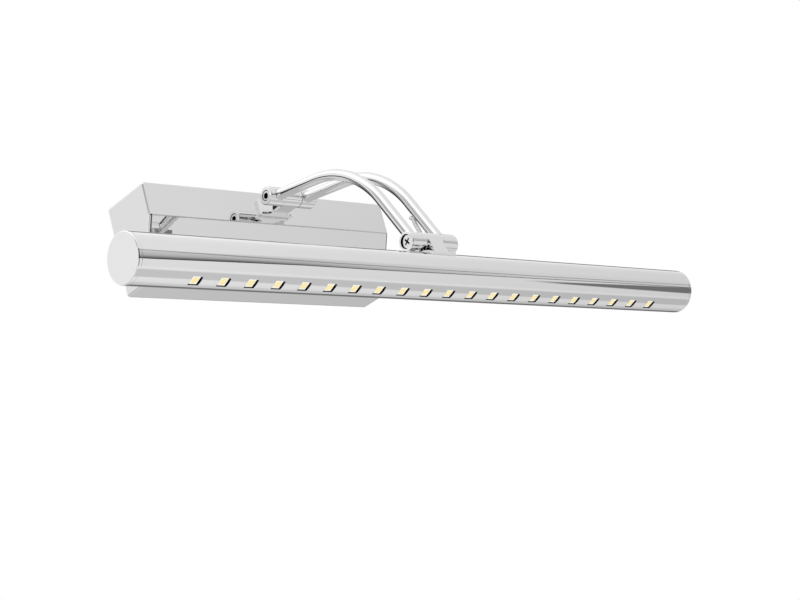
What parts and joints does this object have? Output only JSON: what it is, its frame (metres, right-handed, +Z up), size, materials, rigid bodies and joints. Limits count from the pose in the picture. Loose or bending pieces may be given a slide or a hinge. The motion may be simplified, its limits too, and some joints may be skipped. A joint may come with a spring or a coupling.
{
  "type": "picture light",
  "caption": "Slim tubular LED picture light on two bowed arms with friction hinges at the wall box and at the lamp.",
  "frame": {"origin": "centre of the wall box's back, on the wall plane", "axes": "+Z up, +X along the lamp tube, +Y into the wall, so the lamp stands out towards -Y"},
  "size_m": [0.4, 0.1577, 0.1165],
  "materials": {
    "chrome": "mirror-polished chrome",
    "zinc_steel": "zinc-plated steel",
    "nickel_screw": "bright nickel-plated steel",
    "brass_screw": "plain brass",
    "driver_plastic": "fine-textured moulded plastic",
    "terminal_plastic": "translucent moulded plastic",
    "grommet_rubber": "matt rubber",
    "washer_plastic": "plain nylon",
    "aluminium_bar": "mill-finish extruded bar",
    "board_black": "black solder mask",
    "led_white": "white moulded package",
    "led_phosphor": "yellow silicone phosphor",
    "core_brown": "insulated single core",
    "lead_clear": "clear sheath over tinned cores"
  },
  "bodies": {
    "wall_box": {"box_cover": "chrome", "wall_plate": "zinc_steel", "cover_screws": "nickel_screw", "led_driver": "driver_plastic", "driver_screws": "zinc_steel", "terminal_block": "terminal_plastic", "terminal_screws": "zinc_steel", "terminal_fixing_screw": "zinc_steel", "earth_washer": "zinc_steel", "earth_screw": "brass_screw", "cable_grommet": "grommet_rubber", "input_leads": "core_brown", "output_lead": "lead_clear", "wall_bracket": "chrome", "bracket_stiffener": "zinc_steel", "bracket_screws": "zinc_steel", "face_grommet": "grommet_rubber", "wall_pivot_screw": "nickel_screw", "wall_pivot_sleeve": "zinc_steel", "wall_friction_washers": "washer_plastic"},
    "arms": {"left_arm": "chrome", "right_arm": "chrome", "wall_barrel_left": "chrome", "wall_barrel_right": "chrome", "head_barrel_left": "chrome", "head_barrel_right": "chrome", "head_pivot_screw": "nickel_screw", "arm_lead": "lead_clear", "jumper_lead": "lead_clear"},
    "lamp_head": {"end_cap_left": "chrome", "end_cap_right": "chrome", "head_friction_washers": "washer_plastic", "head_lead": "lead_clear", "lamp_bracket": "chrome", "lamp_tube": "chrome", "led_board": "board_black", "led_carrier": "aluminium_bar", "led_packages": "led_white", "led_phosphors": "led_phosphor", "saddle_screws": "zinc_steel", "tube_grommet": "grommet_rubber"}
  },
  "joints": [
    {"name": "wall_hinge", "type": "hinge", "parent": "wall_box", "child": "arms", "pos_m": [0, -0.0505, 0.0165], "axis": [1, 0, 0], "range_deg": [-40, 30]},
    {"name": "lamp_hinge", "type": "hinge", "parent": "arms", "child": "lamp_head", "pos_m": [0, -0.1455, -0.0559], "axis": [1, 0, 0], "range_deg": [-45, 45], "deforming": ["jumper_lead"]}
  ]
}
